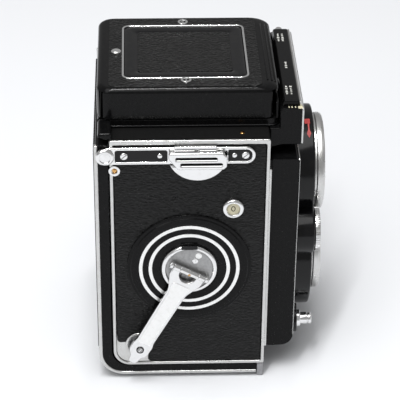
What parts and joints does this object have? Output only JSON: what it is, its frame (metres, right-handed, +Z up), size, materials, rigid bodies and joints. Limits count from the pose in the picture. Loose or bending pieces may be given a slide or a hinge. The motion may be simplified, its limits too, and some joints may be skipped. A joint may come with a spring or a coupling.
{
  "type": "twin lens reflex camera",
  "caption": "Box-shaped twin lens camera with a folding waist-level hood, extending lens standard, winding crank and hinged back.",
  "frame": {"origin": "middle of the bounding box at the soles of the feet", "axes": "+Z up, the lenses look along -Y, the winding crank is on the -X side and the focusing knob on the +X side"},
  "size_m": [0.1069, 0.1059, 0.1493],
  "materials": {
    "black_enamel": "gloss black enamel over cast and pressed aluminium, worn thin along the edges",
    "satin_aluminium": "satin chromed metal",
    "bright_chrome": "polished chrome plate with fine scratches",
    "steel_pin": "turned steel",
    "black_leather": "fine-grained black leather covering",
    "optical_glass": "coated optical glass",
    "silvered_mirror": "front-silvered mirror",
    "black_plastic": "matt black",
    "cream_dial": "cream enamelled dial",
    "grey_foot": "grey painted metal"
  },
  "bodies": {
    "camera_body": {"body_casting": "black_enamel", "viewing_mirror": "silvered_mirror", "focusing_screen": "optical_glass", "hood_base": "black_enamel", "meter_housing": "black_enamel", "meter_window": "optical_glass", "crank_side_border": "satin_aluminium", "crank_side_leather": "black_leather", "crank_side_strap_plate": "satin_aluminium", "crank_side_strap_lug": "bright_chrome", "crank_side_front_foot": "grey_foot", "knob_side_border": "satin_aluminium", "knob_side_leather": "black_leather", "knob_side_strap_plate": "satin_aluminium", "knob_side_strap_lug": "bright_chrome", "knob_side_front_foot": "grey_foot", "crank_disc": "black_enamel", "counter_bezel": "bright_chrome", "door_hinge_pin": "steel_pin"},
    "lens_standard": {"front_standard": "black_enamel", "lens_cover": "black_enamel", "viewing_lens_ring": "bright_chrome", "viewing_lens_glass": "optical_glass", "taking_lens_ring": "bright_chrome", "taking_lens_glass": "optical_glass", "shutter_housing": "black_plastic", "release_collar": "bright_chrome", "sync_socket": "bright_chrome"},
    "aperture_control": {"aperture_wheel": "bright_chrome"},
    "shutter_control": {"shutter_speed_wheel": "bright_chrome"},
    "release": {"release_button": "bright_chrome"},
    "lock": {"release_lock": "black_enamel"},
    "self_timer": {"self_timer_lever": "bright_chrome"},
    "focusing": {"focus_knob": "satin_aluminium", "focus_scale_ring": "black_plastic"},
    "take_up": {"take_up_spool": "black_plastic"},
    "supply": {"supply_spool": "black_plastic"},
    "take_up_pin": {"take_up_spool_knob": "bright_chrome"},
    "supply_pin": {"supply_spool_knob": "bright_chrome"},
    "crank": {"crank_hub": "bright_chrome", "crank_hinge_pin": "steel_pin"},
    "arm": {"crank_arm": "bright_chrome"},
    "handle": {"crank_handle_knob": "bright_chrome"},
    "counter": {"counter_dial": "cream_dial"},
    "back": {"back_door": "black_enamel", "back_leather": "black_leather", "crank_side_rear_foot": "grey_foot", "knob_side_rear_foot": "grey_foot", "tripod_seat": "bright_chrome"},
    "film_pressure": {"pressure_plate": "black_enamel"},
    "latch": {"back_latch": "bright_chrome"},
    "lid": {"hood_lid": "black_enamel"},
    "flap": {"finder_flap": "black_enamel"},
    "wall_crank_side": {"crank_side_hood_wall": "black_enamel"},
    "wall_knob_side": {"knob_side_hood_wall": "black_enamel"},
    "wall_rear": {"rear_hood_wall": "black_enamel"},
    "magnifier_frame": {"magnifier": "optical_glass"}
  },
  "joints": [
    {"name": "front_standard_slide", "type": "slide", "parent": "camera_body", "child": "lens_standard", "axis": [0, -1, 0], "range_m": [0, 0.006]},
    {"name": "focus_knob_turn", "type": "hinge", "parent": "camera_body", "child": "focusing", "pos_m": [0.0474, 0.006, 0.062], "axis": [1, 0, 0], "range_deg": [0, 301]},
    {"name": "aperture_turn", "type": "hinge", "parent": "lens_standard", "child": "aperture_control", "pos_m": [-0.025, -0.0488, 0.0684], "axis": [0, -1, 0], "range_deg": [0, 140]},
    {"name": "shutter_speed_turn", "type": "hinge", "parent": "lens_standard", "child": "shutter_control", "pos_m": [0.025, -0.0488, 0.0684], "axis": [0, -1, 0], "range_deg": [0, 160]},
    {"name": "release_press", "type": "slide", "parent": "lens_standard", "child": "release", "axis": [0, 1, 0], "range_m": [0, 0.003], "stiffness_N_per_m": 300, "springref_m": -0.002},
    {"name": "release_lock_turn", "type": "hinge", "parent": "lens_standard", "child": "lock", "pos_m": [-0.03, -0.0394, 0.021], "axis": [0, -1, 0], "range_deg": [0, 45]},
    {"name": "self_timer_turn", "type": "hinge", "parent": "lens_standard", "child": "self_timer", "pos_m": [0.035, -0.0397, 0.04], "axis": [0, 1, 0], "range_deg": [0, 80]},
    {"name": "take_up_spool_spin", "type": "hinge", "parent": "camera_body", "child": "take_up", "pos_m": [0, 0.028, 0.088], "axis": [1, 0, 0], "range_deg": [-180, 180]},
    {"name": "supply_spool_spin", "type": "hinge", "parent": "camera_body", "child": "supply", "pos_m": [0, -0.0005, 0.02], "axis": [1, 0, 0], "continuous": true},
    {"name": "take_up_knob_pull", "type": "slide", "parent": "camera_body", "child": "take_up_pin", "axis": [1, 0, 0], "range_m": [0, 0.006]},
    {"name": "supply_knob_pull", "type": "slide", "parent": "camera_body", "child": "supply_pin", "axis": [1, 0, 0], "range_m": [0, 0.006]},
    {"name": "crank_turn", "type": "hinge", "parent": "camera_body", "child": "crank", "pos_m": [-0.0477, 0.0113, 0.0628], "axis": [1, 0, 0], "range_deg": [-180, 130]},
    {"name": "crank_arm_fold", "type": "hinge", "parent": "crank", "child": "arm", "pos_m": [-0.0513, 0.01144, 0.06253], "axis": [0, 0.8821, 0.471], "range_deg": [0, 180]},
    {"name": "crank_handle_spin", "type": "hinge", "parent": "arm", "child": "handle", "pos_m": [-0.0513, 0.03419, 0.01993], "axis": [1, 0, 0], "continuous": true},
    {"name": "counter_dial_turn", "type": "hinge", "parent": "camera_body", "child": "counter", "pos_m": [-0.0465, -0.0083, 0.0944], "axis": [1, 0, 0], "range_deg": [-15, 15]},
    {"name": "back_door_open", "type": "hinge", "parent": "camera_body", "child": "back", "pos_m": [0, 0.0504, 0.1296], "axis": [1, 0, 0], "range_deg": [0, 110]},
    {"name": "pressure_plate_press", "type": "slide", "parent": "back", "child": "film_pressure", "axis": [0, 1, 0], "range_m": [0, 0.001], "stiffness_N_per_m": 400, "springref_m": -0.001},
    {"name": "back_latch_flip", "type": "hinge", "parent": "back", "child": "latch", "pos_m": [0, -0.0175, 0.0013], "axis": [-1, 0, 0], "range_deg": [0, 90]},
    {"name": "hood_lid_open", "type": "hinge", "parent": "camera_body", "child": "lid", "pos_m": [0, -0.0273, 0.145], "axis": [1, 0, 0], "range_deg": [0, 90]},
    {"name": "finder_flap_push", "type": "hinge", "parent": "lid", "child": "flap", "pos_m": [0, -0.0146, 0.1484], "axis": [-1, 0, 0], "range_deg": [0, 6]},
    {"name": "hood_wall_crank_side_rise", "type": "hinge", "parent": "camera_body", "child": "wall_crank_side", "pos_m": [-0.0336, 0.011, 0.135], "axis": [0, -1, 0], "range_deg": [0, 90]},
    {"name": "hood_wall_knob_side_rise", "type": "hinge", "parent": "camera_body", "child": "wall_knob_side", "pos_m": [0.0336, 0.011, 0.135], "axis": [0, 1, 0], "range_deg": [0, 90]},
    {"name": "hood_rear_wall_rise", "type": "hinge", "parent": "camera_body", "child": "wall_rear", "pos_m": [0, 0.0494, 0.1366], "axis": [-1, 0, 0], "range_deg": [0, 90]},
    {"name": "magnifier_unfold", "type": "hinge", "parent": "lid", "child": "magnifier_frame", "pos_m": [0, 0.0127, 0.1391], "axis": [-1, 0, 0], "range_deg": [0, 90]}
  ],
  "couplings": [
    {"joint": "focus_knob_turn", "follows": "front_standard_slide", "rad_per_m": 872.7},
    {"joint": "take_up_spool_spin", "follows": "crank_turn", "ratio": 1},
    {"joint": "counter_dial_turn", "follows": "crank_turn", "ratio": 0.0833},
    {"joint": "hood_wall_crank_side_rise", "follows": "hood_lid_open", "ratio": 1},
    {"joint": "hood_wall_knob_side_rise", "follows": "hood_lid_open", "ratio": 1},
    {"joint": "hood_rear_wall_rise", "follows": "hood_lid_open", "ratio": 1},
    {"joint": "magnifier_unfold", "follows": "hood_lid_open", "ratio": 1}
  ]
}
